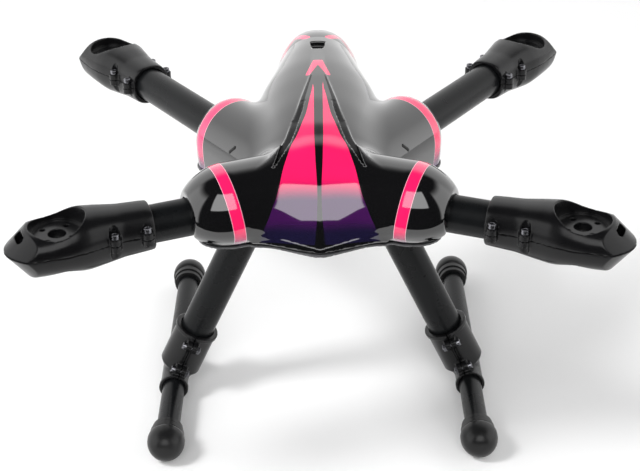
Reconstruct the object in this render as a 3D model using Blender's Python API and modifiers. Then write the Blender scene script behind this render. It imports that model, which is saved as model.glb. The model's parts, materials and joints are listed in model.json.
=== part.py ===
"""Multirotor airframe: four carbon arms with clamped motor pods, canopy, belly tray, frame, legs and skids."""

import math

import bmesh
import bpy
from mathutils import Matrix, Vector

MM = 0.001
GAP = 0.3

# Driving dimensions, in millimetres. The hub, where the four arm axes cross, is the design's origin:
# X to the object's left, Y to its tail, Z up.
HUB_HEIGHT = 200.0
MIDDLE_Y = 86.0
TUBE_R = 12.5
TUBE_WALL = 1.4
FRONT_ANGLE = 68.54
REAR_ANGLE = 144.28
ARM_START = 24.0
FRONT_REACH = 176.2
REAR_REACH = 281.6

POD_LENGTH = 93.9
POD_SEAT_X = 59.5
POD_SEAT_Z = 6.4
POD_SEAT_R = 17.0
POD_HOLE_R = 5.6
POD_BORE_R = TUBE_R + GAP
POD_BORE_END = 39.0
POD_STATIONS = (
    (0.0, 14.7, 14.7), (2.0, 15.2, 15.2), (20.0, 15.9, 16.4), (33.0, 18.2, 18.2), (43.0, 20.4, 19.2),
    (49.0, 21.2, 18.4), (57.0, 21.6, 16.0), (66.0, 21.4, 14.0), (76.0, 20.2, 13.2), (84.0, 17.6, 12.4),
    (POD_LENGTH, 9.0, 0.8),
)
POD_BOLT_X = (6.0, 27.0)
POD_BOLT_Y = 17.2
BOLT_R = 1.5
BOLT_HEAD_R = 2.75
BOLT_HEAD_H = 3.0

PLATE_T = 1.8
LOWER_PLATE_Z = -15.9
UPPER_PLATE_Z = 15.9
TRAY_TOP = -18.1
TRAY_T = 1.7
CANOPY_BASE = -17.8
SHELL_T = 1.8

LEG_Y = 61.5
LEG_SPLAY = 25.0
SKID_X = 111.8
SKID_Z = -186.6
SKID_R = 8.3
SKID_FRONT = -22.0
SKID_REAR = 197.5
SLEEVE_FRONT = 38.0
SLEEVE_REAR = 86.0
SLEEVE_R = 10.2
FOOT_R = 13.4
TEE_R = 15.4
TEE_TOP = 44.0
TEE_EAR_X = 4.2
TEE_EAR_Y = 18.0
TEE_EAR_Z = (12.5, 35.5)

BATTERY_Y = (60.0, 180.0)
BATTERY_HALF = 21.0
BATTERY_TOP = 13.6
STRAP_Y = (92.0, 150.0)
STRAP_W = 16.0


def clear_scene():
    for thing in list(bpy.data.objects):
        bpy.data.objects.remove(thing, do_unlink=True)


def new_collection(name):
    collection = bpy.data.collections.new(name)
    bpy.context.scene.collection.children.link(collection)
    return collection


clear_scene()
PARTS = new_collection("drone_airframe")
CUTTERS = new_collection("cutters")


def new_material(name, colour, roughness, metallic=0.0):
    material = bpy.data.materials.new(name)
    material.use_nodes = True
    shader = material.node_tree.nodes["Principled BSDF"]
    shader.inputs["Base Color"].default_value = (*colour, 1.0)
    shader.inputs["Roughness"].default_value = roughness
    shader.inputs["Metallic"].default_value = metallic
    return material


LOOKS = {
    "canopy": ((0.012, 0.012, 0.014), 0.08, 0.0),
    "tray": ((0.02, 0.02, 0.022), 0.3, 0.0),
    "carbon": ((0.03, 0.03, 0.033), 0.35, 0.0),
    "tube": ((0.022, 0.022, 0.024), 0.45, 0.0),
    "nylon": ((0.016, 0.016, 0.018), 0.4, 0.0),
    "steel": ((0.55, 0.55, 0.57), 0.3, 1.0),
    "alloy": ((0.6, 0.6, 0.62), 0.35, 1.0),
    "rubber": ((0.02, 0.02, 0.02), 0.75, 0.0),
    "board": ((0.02, 0.10, 0.05), 0.5, 0.0),
    "casing": ((0.05, 0.05, 0.06), 0.5, 0.0),
    "cell": ((0.05, 0.08, 0.25), 0.4, 0.0),
    "strap": ((0.03, 0.03, 0.03), 0.9, 0.0),
}


def raw_object(name, mesh):
    thing = bpy.data.objects.new(name, mesh)
    CUTTERS.objects.link(thing)
    thing.hide_render = True
    thing.display_type = "WIRE"
    return thing


def from_bmesh(name, bm):
    mesh = bpy.data.meshes.new(name)
    bm.to_mesh(mesh)
    bm.free()
    return raw_object(name, mesh)


def baked(thing):
    """The evaluated mesh of a raw shape; the shape and its cutters are removed."""
    graph = bpy.context.evaluated_depsgraph_get()
    mesh = bpy.data.meshes.new_from_object(thing.evaluated_get(graph))
    mesh.transform(thing.matrix_world)
    for used in [m.object for m in thing.modifiers if m.type == "BOOLEAN"]:
        if used.name in bpy.data.objects:
            bpy.data.objects.remove(used, do_unlink=True)
    bpy.data.objects.remove(thing, do_unlink=True)
    return mesh


def moved(thing, matrix):
    thing.data.transform(matrix)
    return thing


def at(x, y, z):
    return Matrix.Translation((x * MM, y * MM, z * MM))


def along(direction, origin=(0.0, 0.0, 0.0)):
    """Turns +Z to a direction and moves to an origin, in millimetres."""
    turn = Vector(direction).to_track_quat("Z", "Y").to_matrix().to_4x4()
    return at(*origin) @ turn


def box(name, low, high, bevel=0.0):
    bm = bmesh.new()
    size = [(b - a) * MM for a, b in zip(low, high)]
    middle = [(a + b) / 2 * MM for a, b in zip(low, high)]
    bmesh.ops.create_cube(bm, size=1.0, matrix=Matrix.Translation(middle) @ Matrix.Diagonal((*size, 1.0)))
    thing = from_bmesh(name, bm)
    if bevel:
        rounding = thing.modifiers.new("rounding", "BEVEL")
        rounding.width = bevel * MM
        rounding.segments = 2
    return thing


def cylinder(name, radius, low, high, segments=32):
    bm = bmesh.new()
    place = Matrix.Translation((0, 0, (low + high) / 2 * MM))
    bmesh.ops.create_cone(bm, cap_ends=True, segments=segments, radius1=radius * MM, radius2=radius * MM,
                          depth=(high - low) * MM, matrix=place)
    return from_bmesh(name, bm)


def turned(name, profile, steps=28, ring=False):
    """A profile of (radius, height), top to bottom down the outside, turned about Z."""
    mesh = bpy.data.meshes.new(name)
    count = len(profile)
    edges = [(i, i + 1) for i in range(count - 1)] + ([(count - 1, 0)] if ring else [])
    mesh.from_pydata([(r * MM, 0.0, z * MM) for r, z in profile], edges, [])
    thing = raw_object(name, mesh)
    screw = thing.modifiers.new("turn", "SCREW")
    screw.steps = screw.render_steps = steps
    screw.use_merge_vertices = True
    screw.merge_threshold = 0.00005
    return thing


def pipe(name, radius, wall, low, high, steps=24):
    profile = [(radius, high), (radius, low), (radius - wall, low), (radius - wall, high)]
    return turned(name, profile, steps, ring=True)


def loft(name, sections):
    """Closed loops of points, all of one length, joined in order and capped."""
    bm = bmesh.new()
    rings = [[bm.verts.new(Vector(p) * MM) for p in section] for section in sections]
    count = len(rings[0])
    for near, far in zip(rings, rings[1:]):
        for i in range(count):
            j = (i + 1) % count
            bm.faces.new((near[i], near[j], far[j], far[i]))
    bm.faces.new(list(reversed(rings[0])))
    bm.faces.new(rings[-1])
    bmesh.ops.recalc_face_normals(bm, faces=bm.faces)
    return from_bmesh(name, bm)


def outline(name, loops, z, thickness):
    """A flat plate: the first loop is its edge, the others are holes."""
    curve = bpy.data.curves.new(name, "CURVE")
    curve.dimensions = "2D"
    curve.fill_mode = "BOTH"
    curve.extrude = thickness / 2 * MM
    for loop in loops:
        spline = curve.splines.new("POLY")
        spline.points.add(len(loop) - 1)
        for point, (x, y) in zip(spline.points, loop):
            point.co = (x * MM, y * MM, 0.0, 1.0)
        spline.use_cyclic_u = True
    drawn = bpy.data.objects.new(name, curve)
    CUTTERS.objects.link(drawn)
    graph = bpy.context.evaluated_depsgraph_get()
    mesh = bpy.data.meshes.new_from_object(drawn.evaluated_get(graph))
    bpy.data.objects.remove(drawn, do_unlink=True)
    bm = bmesh.new()
    bm.from_mesh(mesh)
    bmesh.ops.remove_doubles(bm, verts=bm.verts, dist=0.00001)
    bmesh.ops.recalc_face_normals(bm, faces=bm.faces)
    bm.to_mesh(mesh)
    bm.free()
    mesh.transform(at(0, 0, z))
    return raw_object(name, mesh)


def joined(thing, others, operation="UNION"):
    for other in others:
        step = thing.modifiers.new(operation.lower(), "BOOLEAN")
        step.operation = operation
        step.solver = "EXACT"
        step.object = other
    return thing


def cut(thing, *others):
    return joined(thing, others, "DIFFERENCE")


def kept(thing, other):
    return joined(thing, [other], "INTERSECT")


def frame_empty(name, matrix, parent=None):
    empty = bpy.data.objects.new(name, None)
    PARTS.objects.link(empty)
    empty.parent = parent
    empty.matrix_local = matrix
    return empty


def part(name, mesh, look, parent, matrix=None):
    """One named sub-part, with its own material, under its body's empty."""
    thing = bpy.data.objects.new(name, mesh)
    PARTS.objects.link(thing)
    thing.parent = parent
    if matrix is not None:
        thing.matrix_local = matrix
    if not mesh.materials:
        mesh.materials.append(None)
    thing.material_slots[0].link = "OBJECT"
    thing.material_slots[0].material = new_material(name, *LOOKS[look])
    mesh.shade_smooth()
    mesh.set_sharp_from_angle(angle=math.radians(35))
    return thing


HUB = frame_empty("hub", at(0, -MIDDLE_Y, HUB_HEIGHT))
SIDES = (("left", 1), ("right", -1))


def arm_direction(end, side):
    angle = math.radians(FRONT_ANGLE if end == "front" else REAR_ANGLE)
    return Vector((side * math.sin(angle), -math.cos(angle), 0.0))


def arm_frame(end, side, distance):
    """X along the arm outwards, Z up, at a distance from the hub."""
    direction = arm_direction(end, side)
    turn = math.atan2(direction.y, direction.x)
    spot = direction * distance
    return at(spot.x, spot.y, 0) @ Matrix.Rotation(turn, 4, "Z")


ARMS = [(end, word, side) for end in ("front", "rear") for word, side in SIDES]


def motor_reach(end):
    return FRONT_REACH if end == "front" else REAR_REACH


def bolt(length):
    """A cap screw standing on Z = 0, with its shank below."""
    profile = [(0, BOLT_HEAD_H), (BOLT_HEAD_R, BOLT_HEAD_H), (BOLT_HEAD_R, 0), (BOLT_R, 0),
               (BOLT_R, -length), (0, -length)]
    return baked(turned("bolt", profile, 12))


# Arms and motor pods

def arch(half_width, height, points=10, power=2.5):
    """An arch over the seam plane, from one side to the other."""
    result = []
    for i in range(points + 1):
        angle = math.pi * i / points
        c, s = math.cos(angle), math.sin(angle)
        y = half_width * math.copysign(abs(c) ** (2 / power), c)
        result.append((y, GAP / 2 + height * abs(s) ** (2 / power)))
    return result


def pod_half():
    sections = [[(x, y, z) for y, z in arch(half, height)] for x, half, height in POD_STATIONS]
    body = loft("pod_half", sections)
    bosses = [moved(cylinder("boss", 3.7, GAP / 2, 5.0, 12), at(x, y * POD_BOLT_Y, 0))
              for x in POD_BOLT_X for y in (-1, 1)]
    joined(body, bosses)
    bore = moved(cylinder("bore", POD_BORE_R, -5.0, POD_BORE_END, 24), Matrix.Rotation(math.pi / 2, 4, "Y"))
    seat = moved(cylinder("seat", POD_SEAT_R, POD_SEAT_Z, 30.0, 24), at(POD_SEAT_X, 0, 0))
    centre = moved(cylinder("centre", POD_HOLE_R, -1.0, 20.0, 16), at(POD_SEAT_X, 0, 0))
    pockets, holes = [], []
    for x in POD_BOLT_X:
        for y in (-1, 1):
            pockets.append(moved(cylinder("pocket", 3.3, 4.4, 30.0, 10), at(x, y * POD_BOLT_Y, 0)))
            holes.append(moved(cylinder("hole", BOLT_R + GAP, -1.0, 6.0, 8), at(x, y * POD_BOLT_Y, 0)))
    for turn in range(4):
        angle = math.radians(45 + 90 * turn)
        spot = (POD_SEAT_X + 11.0 * math.cos(angle), 11.0 * math.sin(angle), 0)
        holes.append(moved(cylinder("screw_hole", 1.6, -1.0, 20.0, 8), at(*spot)))
    return baked(cut(body, bore, seat, centre, *pockets, *holes))


def make_arms():
    half = pod_half()
    screw = bolt(9.6)
    flipped = Matrix.Rotation(math.pi, 4, "X")
    for end, word, side in ARMS:
        label = f"{end}_{word}"
        reach = motor_reach(end)
        pod_start = reach - POD_SEAT_X
        tube = baked(pipe("tube", TUBE_R, TUBE_WALL, ARM_START, pod_start + POD_BORE_END - 1.0))
        part(f"arm_tube_{label}", tube, "tube", HUB, along(arm_direction(end, side)))
        pod = frame_empty(f"pod_axis_{label}", arm_frame(end, side, pod_start), HUB)
        part(f"pod_upper_{label}", half, "nylon", pod)
        part(f"pod_lower_{label}", half.copy(), "nylon", pod, flipped)
        for number, y in enumerate((-1, 1), 1):
            place = at(POD_BOLT_X[0], y * POD_BOLT_Y, 4.4 + GAP / 3)
            part(f"pod_bolt_{label}_{number}", screw, "steel", pod, place)


# Frame

def plate_edge(front, rear, half, tail_y, tail_half, nose_y, neck):
    """A plate's outline: an X along the arms, with a nose and a tail tongue."""
    right = []
    for end, reach in (("front", front), ("rear", rear)):
        direction = arm_direction(end, 1)
        across = Vector((-direction.y, direction.x, 0.0))
        right.append([direction * reach - across * half, direction * reach + across * half])
    (f1, f2), (r1, r2) = right
    armpit, waist = (32.0, 2.0), (30.0, 26.0)
    points = [(10.0, nose_y), neck, (f1.x, f1.y), (f2.x, f2.y), armpit, waist, (r1.x, r1.y), (r2.x, r2.y),
              (tail_half, r2.y + 12.0), (tail_half, tail_y)]
    return points + [(-x, y) for x, y in reversed(points)]


def ring_points(x, y, radius, count=20):
    return [(x + radius * math.cos(2 * math.pi * i / count), y + radius * math.sin(2 * math.pi * i / count))
            for i in range(count)]


def rectangle(x, y, half_x, half_y):
    return [(x - half_x, y - half_y), (x + half_x, y - half_y), (x + half_x, y + half_y),
            (x - half_x, y + half_y)]


STANDOFFS = {f"{end}_{word}": (side * x, y)
             for end, x, y in (("front", 9.0, -20.0), ("rear", 7.5, 48.0)) for word, side in SIDES}


def make_frame():
    bolt_holes = [ring_points(x, y, BOLT_R + GAP, 12) for x, y in STANDOFFS.values()]
    slots = [rectangle(sx * (BATTERY_HALF + 1.5), y, 1.5, STRAP_W / 2 + 1.0)
             for y in STRAP_Y for sx in (-1, 1)]
    lower = outline("lower", [plate_edge(66.0, 88.0, 17.0, 186.0, 27.0, -38.0, (32.0, -22.0)), *bolt_holes, *slots],
                    LOWER_PLATE_Z, PLATE_T)
    part("lower_frame_plate", baked(lower), "carbon", HUB)
    upper = outline("upper", [plate_edge(60.0, 76.0, 15.0, 112.0, 24.0, -26.0, (25.0, -10.0)), *bolt_holes,
                              ring_points(0, 10.0, 7.0, 24)], UPPER_PLATE_Z, PLATE_T)
    part("upper_frame_plate", baked(upper), "carbon", HUB)
    span = UPPER_PLATE_Z - LOWER_PLATE_Z - PLATE_T - 2 * GAP
    post = baked(pipe("standoff", 3.2, 1.4, -span / 2, span / 2, 6))
    for label, (x, y) in STANDOFFS.items():
        part(f"standoff_{label}", post, "alloy", HUB, at(x, y, 0))


def make_arm_clamps():
    top = UPPER_PLATE_Z - PLATE_T / 2 - GAP
    for end, word, side in ARMS:
        block = box("clamp", (34.0, -16.0, -top), (56.0, 16.0, top), 1.2)
        bore = moved(cylinder("bore", TUBE_R + GAP, 20.0, 70.0, 40), Matrix.Rotation(math.pi / 2, 4, "Y"))
        slit = box("slit", (30.0, 5.0, -0.6), (60.0, 20.0, 0.6))
        part(f"arm_clamp_{end}_{word}", baked(cut(block, bore, slit)), "nylon", HUB, arm_frame(end, side, 0))


# Canopy and tray

NOSE_LINE = ((-54.0, -19.0), (-46.4, 4.4), (-32.1, 22.7), (-10.9, 36.0), (13.2, 43.8), (41.0, 48.7),
             (101.0, 51.9))
NOSE_SWEEP = 0.12
NOSE_DROOP = 0.07
BODY_STATIONS = (
    (-30.0, 20.0, 10.0), (-24.0, 28.0, 20.0), (-10.0, 38.0, 33.0), (13.0, 44.0, 42.8), (41.0, 47.5, 47.9),
    (75.0, 49.5, 50.6), (101.0, 48.5, 51.5), (135.0, 40.0, 50.6), (160.0, 35.5, 48.3), (180.0, 32.0, 43.4),
    (195.0, 26.0, 32.0), (204.0, 18.5, 17.0), (209.0, 9.0, -1.0),
)
FLOOR = -27.0


def body_shell(inset):
    """The long bullet-shaped fuselage, tail to nose."""
    sections = []
    for y, half, top in BODY_STATIONS:
        height = top - inset - CANOPY_BASE
        middle_y = y + inset * (1 if y < 0 else -1) * (abs(y - 85.0) > 100.0)
        ring = []
        for i in range(19):
            angle = math.pi * i / 18
            c, s = math.cos(angle), math.sin(angle)
            x = (half - inset) * math.copysign(abs(c) ** 0.85, c)
            ring.append((x, middle_y, CANOPY_BASE + height * s ** 0.85))
        floor = [(-(half - inset), middle_y, FLOOR), (half - inset, middle_y, FLOOR)]
        sections.append(ring + floor)
    return loft("body", sections)


def nose_shell(inset):
    """The swept beak: the same centre line, carried back and down with the distance from it."""
    sections = []
    wide = 38.5 - inset
    for i in range(-6, 7):
        x = wide * i / 6
        away = abs(x)
        back = min(60.0, 76.6 - (away - 5.8) / 0.285) - inset
        back = max(back, NOSE_LINE[2][0] + NOSE_SWEEP * away)
        ring = []
        for y, z in NOSE_LINE:
            place = y + NOSE_SWEEP * away + inset
            ring.append((x, min(place, back), z - NOSE_DROOP * away - inset))
        ring += [(x, back, FLOOR - 14.0), (x, NOSE_LINE[0][0] + NOSE_SWEEP * away + inset, FLOOR - 14.0)]
        for k in range(1, len(NOSE_LINE)):
            if ring[k][1] >= back:
                ring[k] = (x, back - 0.01 * (len(NOSE_LINE) - k), ring[k - 1][2] + 0.01)
        sections.append(ring)
    return loft("nose", sections)


def dome_profile(radius, start, end, mouth, steps=4):
    """A sleeve from the hub that closes in a dome with a flat mouth, top to bottom."""
    length = end - start
    reach = math.acos(mouth / radius)
    curve = []
    for i in range(steps, -1, -1):
        angle = reach * i / steps
        curve.append((radius * math.cos(angle), start + length * math.sin(angle) / math.sin(reach)))
    return [(0.0, end)] + curve + [(radius, 0.0), (0.0, 0.0)]


SLEEVES = {"front": (29.5, 62.0, 92.0, 16.5), "rear": (28.3, 106.0, 122.0, 16.5)}


def sleeve_shell(end, side, inset):
    radius, start, finish, mouth = SLEEVES[end]
    shape = turned("sleeve", dome_profile(radius - inset, start, finish - inset, mouth - inset), 28)
    return moved_modifier(shape, along(arm_direction(end, side), (0, 0, -1.0)))


def moved_modifier(thing, matrix):
    """Bakes a modifier shape and moves it, so that it can be cut with."""
    mesh = baked(thing)
    mesh.transform(matrix)
    return raw_object("shape", mesh)


def canopy_solid(inset):
    body = body_shell(inset)
    return joined(body, [nose_shell(inset)] + [sleeve_shell(end, side, inset) for end, _, side in ARMS])


def make_canopy(canopy):
    outside = raw_object("outside", baked(canopy_solid(0.0)))
    inside = raw_object("inside", baked(canopy_solid(SHELL_T)))
    below = box("below", (-200, -200, -120), (200, 300, CANOPY_BASE))
    mouths = []
    for end, _, side in ARMS:
        place = arm_frame(end, side, SLEEVES[end][2])
        mouths.append(moved(box("mouth", (-14, -TUBE_R - 0.9, -60), (10, TUBE_R + 0.9, -1.0)), place))
        round_part = moved(cylinder("round", TUBE_R + 0.9, -14, 10, 40), Matrix.Rotation(math.pi / 2, 4, "Y"))
        mouths.append(moved(round_part, place))
    part("canopy_shell", baked(cut(outside, inside, below, *mouths)), "canopy", canopy)


def make_tray():
    lip = 1.2
    solid = raw_object("tray", baked(canopy_solid(-lip)))
    slab = box("slab", (-200, -200, TRAY_TOP - TRAY_T), (200, 300, TRAY_TOP))
    length = leg_length()
    legs = [moved(cylinder("leg", TUBE_R + 4.4, length - 60, length + 60, 24), leg_frame(side))
            for _, side in SIDES]
    part("belly_tray", baked(cut(kept(solid, slab), *legs)), "tray", HUB)


# Legs and skids

def leg_frame(side):
    """Z up along the leg, X outwards across it, at the point where leg and skid axes cross."""
    return at(side * SKID_X, LEG_Y, SKID_Z) @ Matrix.Rotation(side * math.radians(-LEG_SPLAY), 4, "Y")


def leg_length():
    return (LOWER_PLATE_Z - SKID_Z) / math.cos(math.radians(LEG_SPLAY))


def tee_half(sign):
    """One half of the clamp that joins leg and skid tube; X is the split's normal."""
    post = cylinder("post", TEE_R, 3.0, TEE_TOP, 24)
    collar = cylinder("collar", TEE_R + 1.1, TEE_TOP - 3.0, TEE_TOP, 24)
    across = Matrix.Rotation(-math.pi / 2, 4, "X")
    sleeve = moved(cylinder("sleeve", SLEEVE_R, SLEEVE_FRONT - LEG_Y, SLEEVE_REAR - LEG_Y, 20), across)
    flange = moved(cylinder("flange", SLEEVE_R + 0.9, SLEEVE_FRONT - LEG_Y, SLEEVE_FRONT - LEG_Y + 3.0, 20),
                   across)
    ears = [box("ear", (-TEE_EAR_X, y * TEE_EAR_Y - 4.5, z - 4.0), (TEE_EAR_X, y * TEE_EAR_Y + 3.0, z + 4.0))
            for y in (-1, 1) for z in TEE_EAR_Z]
    bodies = joined(post, [collar, sleeve, flange, *ears])
    leg_bore = cylinder("leg_bore", TUBE_R + GAP, 12.0, 80.0, 24)
    skid_bore = moved(cylinder("skid_bore", SKID_R + GAP, -80, 80, 20), across)
    holes = [moved(cylinder("hole", BOLT_R + GAP, -20, 20, 8), at(0, y * TEE_EAR_Y, z) @ along((1, 0, 0)))
             for y in (-1, 1) for z in TEE_EAR_Z]
    low, high = (GAP / 2, 60.0) if sign > 0 else (-60.0, -GAP / 2)
    half_space = box("half_space", (low, -60, -40), (high, 60, 80))
    mesh = baked(cut(bodies, leg_bore, skid_bore, *holes))
    return baked(kept(raw_object("tee", mesh), half_space))


def foot_shape():
    """A bumper with a stepped collar; its open end faces down the Z axis to the tube."""
    profile = [(0.0, 14.5)]
    for i in range(1, 7):
        angle = math.pi / 2 * i / 6
        profile.append((FOOT_R * math.sin(angle) ** 0.9, 14.5 * math.cos(angle)))
    profile += [(FOOT_R - 0.4, -2.8), (12.3, -3.8), (12.3, -9.3), (11.3, -10.1), (11.3, -14.3),
                (SKID_R + GAP, -14.3), (SKID_R + GAP, -4.0), (0.0, -4.0)]
    return baked(turned("foot", profile, 20))


def make_legs():
    outer, inner = tee_half(1), tee_half(-1)
    screw = bolt(12.0)
    foot = foot_shape()
    length = leg_length()
    for word, side in SIDES:
        place = leg_frame(side)
        tube = baked(pipe("leg", TUBE_R, TUBE_WALL, 13.5, length - 7.0))
        part(f"leg_tube_{word}", tube, "tube", HUB, place)
        socket = cylinder("socket", TUBE_R + 3.6, length - 26.0, length + 20.0, 40)
        bore = cylinder("bore", TUBE_R + GAP, length - 60.0, length - 6.5, 40)
        above = moved(box("above", (-80, -80, LOWER_PLATE_Z - PLATE_T / 2 - GAP), (80, 80, 60)), place.inverted()
                      @ at(side * 33.0, LEG_Y, 0))
        part(f"leg_socket_{word}", baked(cut(socket, bore, above)), "nylon", HUB, place)
        tee = frame_empty(f"toe_axis_{word}", place, HUB)
        names = ("outer", "inner") if side > 0 else ("inner", "outer")
        part(f"tee_{names[0]}_{word}", outer if side > 0 else outer.copy(), "nylon", tee)
        part(f"tee_{names[1]}_{word}", inner if side > 0 else inner.copy(), "nylon", tee)
        part(f"tee_bolt_{word}", screw, "steel", tee, at(0, -TEE_EAR_Y, TEE_EAR_Z[1]) @ along((side, 0, 0))
             @ at(0, 0, TEE_EAR_X + GAP / 3))
        skid = frame_empty(f"skid_axis_{word}", at(side * SKID_X, LEG_Y, SKID_Z), HUB)
        lie = Matrix.Rotation(-math.pi / 2, 4, "X")
        rod = baked(pipe("skid", SKID_R, 1.2, SKID_FRONT - LEG_Y, SKID_REAR - LEG_Y, 32))
        part(f"skid_tube_{word}", rod, "tube", skid, lie)
        back = Matrix.Rotation(math.pi / 2, 4, "X")
        part(f"foot_front_{word}", foot.copy(), "rubber", skid, at(0, SKID_FRONT - LEG_Y - 4.5, 0) @ back)
        part(f"foot_rear_{word}", foot.copy(), "rubber", skid, at(0, SKID_REAR - LEG_Y + 4.5, 0) @ lie)


# Inside

def make_inside():
    top = UPPER_PLATE_Z + PLATE_T / 2 + GAP
    bottom = LOWER_PLATE_Z + PLATE_T / 2 + GAP
    part("flight_controller", baked(box("fc", (-17, -5, top), (17, 34, top + 10), 1.5)), "casing", HUB)
    part("power_board", baked(box("pdb", (-19, -14, bottom), (19, 14, bottom + 1.6))), "board", HUB)
    part("receiver", baked(box("rx", (-12, 96 - 34, top), (12, 96 + 6, top + 11), 1.0)), "casing", HUB)
    for end, y in (("front", 9.0), ("rear", 49.0)):
        for word, side in SIDES:
            low_x, high_x = sorted((side * 18.2, side * 27.0)) if end == "front" else sorted(
                (side * 13.5, side * 26.0))
            speed = box("esc", (low_x, y, top), (high_x, y + 38.0, top + 6.0), 0.8)
            part(f"speed_controller_{end}_{word}", baked(speed), "casing", HUB)
    pack = box("battery", (-BATTERY_HALF, BATTERY_Y[0], bottom), (BATTERY_HALF, BATTERY_Y[1], BATTERY_TOP), 2.0)
    part("battery", baked(pack), "cell", HUB)
    under = LOWER_PLATE_Z - PLATE_T / 2 - GAP
    for end, y in zip(("front", "rear"), STRAP_Y):
        band = box("band", (-BATTERY_HALF - 1.7, y - STRAP_W / 2, under - 0.4),
                   (BATTERY_HALF + 1.7, y + STRAP_W / 2, BATTERY_TOP + 1.3))
        room = box("room", (-BATTERY_HALF - 0.7, y - STRAP_W, under), (BATTERY_HALF + 0.7, y + STRAP_W,
                                                                    BATTERY_TOP + GAP))
        part(f"battery_strap_{end}", baked(cut(band, room)), "strap", HUB)
    for end, y, height in (("front", -14.0, 26.0), ("rear", 108.2, 48.0)):
        part(f"canopy_post_{end}", baked(cylinder("post", 2.5, top, height, 20)), "alloy", HUB, at(0, y, 0))


def main():
    canopy = frame_empty("canopy_lift_axis", Matrix.Identity(4), HUB)
    make_arms()
    make_frame()
    make_arm_clamps()
    make_canopy(canopy)
    make_tray()
    make_legs()
    make_inside()


main()
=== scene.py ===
import itertools
import json
import math

import bmesh
import bpy
import numpy as np
from mathutils import Matrix, Vector


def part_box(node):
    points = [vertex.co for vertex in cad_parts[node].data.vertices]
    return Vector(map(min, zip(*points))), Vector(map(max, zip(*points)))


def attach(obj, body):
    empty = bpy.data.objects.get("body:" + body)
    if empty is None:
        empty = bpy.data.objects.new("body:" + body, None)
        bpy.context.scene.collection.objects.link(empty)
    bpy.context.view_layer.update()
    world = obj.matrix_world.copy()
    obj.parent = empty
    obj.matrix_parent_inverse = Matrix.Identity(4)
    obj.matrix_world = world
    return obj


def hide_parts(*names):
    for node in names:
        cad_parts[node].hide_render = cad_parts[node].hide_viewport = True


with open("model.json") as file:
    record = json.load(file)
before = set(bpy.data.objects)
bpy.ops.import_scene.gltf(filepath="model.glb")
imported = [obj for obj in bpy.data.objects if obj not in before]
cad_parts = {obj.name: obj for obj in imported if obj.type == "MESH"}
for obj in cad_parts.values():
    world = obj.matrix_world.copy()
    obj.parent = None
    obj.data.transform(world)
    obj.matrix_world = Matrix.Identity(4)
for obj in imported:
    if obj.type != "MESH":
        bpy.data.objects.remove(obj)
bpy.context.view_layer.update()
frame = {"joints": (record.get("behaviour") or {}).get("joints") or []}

bpy.context.scene.view_settings.view_transform = "Standard"

mm = 0.001
sides = (("left", 1), ("right", -1))
armAngles = {"front": 68.54, "rear": 144.28}    # degrees from straight ahead
motorReach = {"front": 176.2, "rear": 281.6}
armNames = [(end, word, side) for end in ("front", "rear") for word, side in sides]
joints = {joint["name"]: joint for joint in frame["joints"]}


def armDirection(end, side=1):
    angle = math.radians(armAngles[end])
    return np.array((side * math.sin(angle), -math.cos(angle), 0.0))


# where the arm axes cross
hub = np.array(joints["pod_trim_front_left"]["pos_m"]) / mm - armDirection("front") * motorReach["front"]


# shapes from fields: a field is the distance from a surface in millimetres, below zero inside

def smoothMin(a, b, radius):
    blend = np.maximum(radius - np.abs(a - b), 0.0)
    return np.minimum(a, b) - blend * blend / (4.0 * radius)


def smoothMax(a, b, radius):
    return -smoothMin(-a, -b, radius)


def stations(pairs, softness, low=None, high=None):
    # a smooth curve through a few stations, for reading at any place
    xs, ys = np.array(pairs, float).T
    low = xs[0] - 60 if low is None else low
    high = xs[-1] + 60 if high is None else high
    places = np.linspace(low, high, 2400)
    first, last = (ys[1] - ys[0]) / (xs[1] - xs[0]), (ys[-1] - ys[-2]) / (xs[-1] - xs[-2])
    raw = np.interp(places, xs, ys)
    raw = np.where(places < xs[0], ys[0] + first * (places - xs[0]), raw)
    raw = np.where(places > xs[-1], ys[-1] + last * (places - xs[-1]), raw)
    gap = places[1] - places[0]
    reach = int(3 * softness / gap) + 1
    window = np.exp(-0.5 * (np.arange(-reach, reach + 1) * gap / softness) ** 2)
    padded = np.concatenate([raw[0] - first * gap * np.arange(reach, 0, -1), raw,
                             raw[-1] + last * gap * np.arange(1, reach + 1)])
    smooth = np.convolve(padded, window / window.sum(), "valid")
    return lambda value: np.interp(value, places, smooth)


def fieldSlope(field, points, reach=0.05):
    slope = np.empty_like(points)
    for axis in range(3):
        step = np.zeros(3)
        step[axis] = reach
        slope[..., axis] = (field(points + step) - field(points - step)) / (2 * reach)
    return slope


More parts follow.
